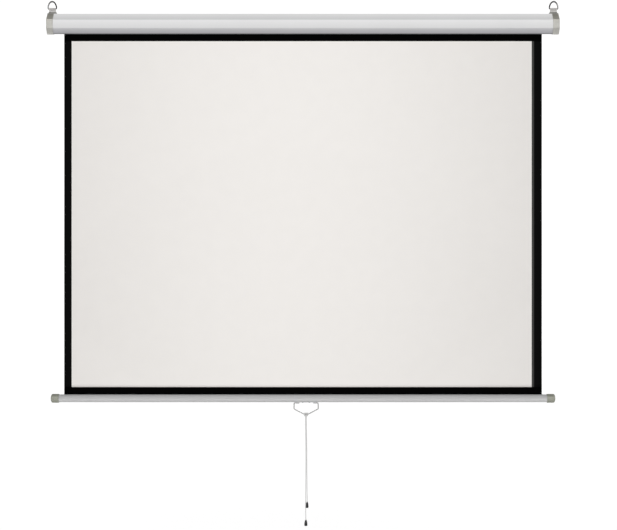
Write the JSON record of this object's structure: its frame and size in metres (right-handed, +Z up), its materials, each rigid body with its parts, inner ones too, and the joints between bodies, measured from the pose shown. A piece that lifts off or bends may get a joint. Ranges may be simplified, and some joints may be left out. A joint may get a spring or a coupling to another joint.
{
  "type": "pull down projector screen",
  "caption": "Manual pull-down projection screen: a spring roller in a faceted casing with hanging rings, a black-bordered white fabric, and a weight bar with a wire pull handle and pull cords.",
  "frame": {"origin": "centre of the flat rear face of the casing, the face that lies against the wall", "axes": "+X to the right seen from the front, +Y into the wall behind, +Z up"},
  "size_m": [1.8964, 0.0742, 1.9482],
  "materials": {
    "casing_paint": "satin white",
    "cap_plastic": "satin grey",
    "bracket_steel": "zinc plated",
    "handle_steel": "zinc plated",
    "plated_steel": "bright zinc",
    "strap_steel": "bright",
    "ring_steel": "nickel plated",
    "roller_aluminium": "mill finish",
    "plug_nylon": "moulded",
    "bush_nylon": "moulded",
    "spring_steel": "oiled",
    "zinc": "die cast",
    "wound_cloth": "matte black",
    "screen_cloth": "matte white with black borders",
    "bar_aluminium": "satin",
    "bar_cap_plastic": "satin grey",
    "handle_wire": "plated",
    "white_cord": "braided white",
    "black_plastic": "satin black"
  },
  "bodies": {
    "casing_assembly": {"casing": "casing_paint", "end_cap_left": "cap_plastic", "end_cap_right": "cap_plastic", "bearing_bracket_left": "bracket_steel", "bearing_bracket_right": "bracket_steel", "cap_screw_front_left": "plated_steel", "cap_screw_front_right": "plated_steel", "cap_screw_rear_left": "plated_steel", "cap_screw_rear_right": "plated_steel", "hanger_strap_left": "strap_steel", "hanger_strap_right": "strap_steel", "strap_screw_left": "plated_steel", "strap_screw_right": "plated_steel", "spring_shaft": "plated_steel", "torsion_spring": "spring_steel", "spring_collar": "zinc", "ratchet_wheel": "zinc", "shaft_circlip": "plated_steel", "idler_bush": "bush_nylon", "screen_fabric": "screen_cloth"},
    "roller": {"roller_tube": "roller_aluminium", "roller_plug_left": "plug_nylon", "roller_plug_right": "plug_nylon", "idler_pin": "plated_steel", "spring_plug": "zinc", "fabric_roll": "wound_cloth", "pawl_pin_upper": "plated_steel", "pawl_pin_lower": "plated_steel"},
    "ring_left": {"d_ring_left": "ring_steel"},
    "ring_right": {"d_ring_right": "ring_steel"},
    "pawl_upper": {"lock_pawl_upper": "zinc"},
    "pawl_lower": {"lock_pawl_lower": "zinc"},
    "weight_bar": {"bottom_bar": "bar_aluminium", "hem_rod": "bush_nylon", "bar_cap_left": "bar_cap_plastic", "bar_cap_right": "bar_cap_plastic", "handle_plate": "handle_steel", "handle_screw_left": "plated_steel", "handle_screw_right": "plated_steel"},
    "handle": {"pull_handle": "handle_wire"},
    "pull_cord": {"cord_hitch": "white_cord", "cord_long": "white_cord", "cord_short": "white_cord", "tassel_long": "black_plastic", "tassel_short": "black_plastic"}
  },
  "joints": [
    {"name": "screen_drop", "type": "slide", "parent": "casing_assembly", "child": "weight_bar", "axis": [0, 0, 1], "range_m": [0, 1.33], "deforming": ["screen_fabric"]},
    {"name": "roller_spin", "type": "hinge", "parent": "casing_assembly", "child": "roller", "pos_m": [0, -0.0288, 0], "axis": [-1, 0, 0], "range_deg": [0, 3720], "deforming": ["torsion_spring"]},
    {"name": "ring_left_swing", "type": "hinge", "parent": "casing_assembly", "child": "ring_left", "pos_m": [-0.9305, -0.04, 0.0563], "axis": [1, 0, 0], "range_deg": [-95, 120]},
    {"name": "ring_right_swing", "type": "hinge", "parent": "casing_assembly", "child": "ring_right", "pos_m": [0.9305, -0.04, 0.0563], "axis": [1, 0, 0], "range_deg": [-95, 120]},
    {"name": "pawl_upper_swing", "type": "hinge", "parent": "roller", "child": "pawl_upper", "pos_m": [-0.9176, -0.0383, 0.0115], "axis": [1, 0, 0], "range_deg": [-11.3, 0]},
    {"name": "pawl_lower_swing", "type": "hinge", "parent": "roller", "child": "pawl_lower", "pos_m": [-0.9176, -0.0193, -0.0115], "axis": [1, 0, 0], "range_deg": [-11.3, 0]},
    {"name": "handle_swing", "type": "hinge", "parent": "weight_bar", "child": "handle", "pos_m": [0.0118, -0.048, -1.4066], "axis": [1, 0, 0], "range_deg": [-85, 85]},
    {"name": "cord_swing", "type": "hinge", "parent": "handle", "child": "pull_cord", "pos_m": [0.0118, -0.048, -1.4464], "axis": [1, 0, 0], "range_deg": [-85, 85]}
  ],
  "couplings": [
    {"joint": "roller_spin", "follows": "screen_drop", "rad_per_m": 48.8}
  ]
}
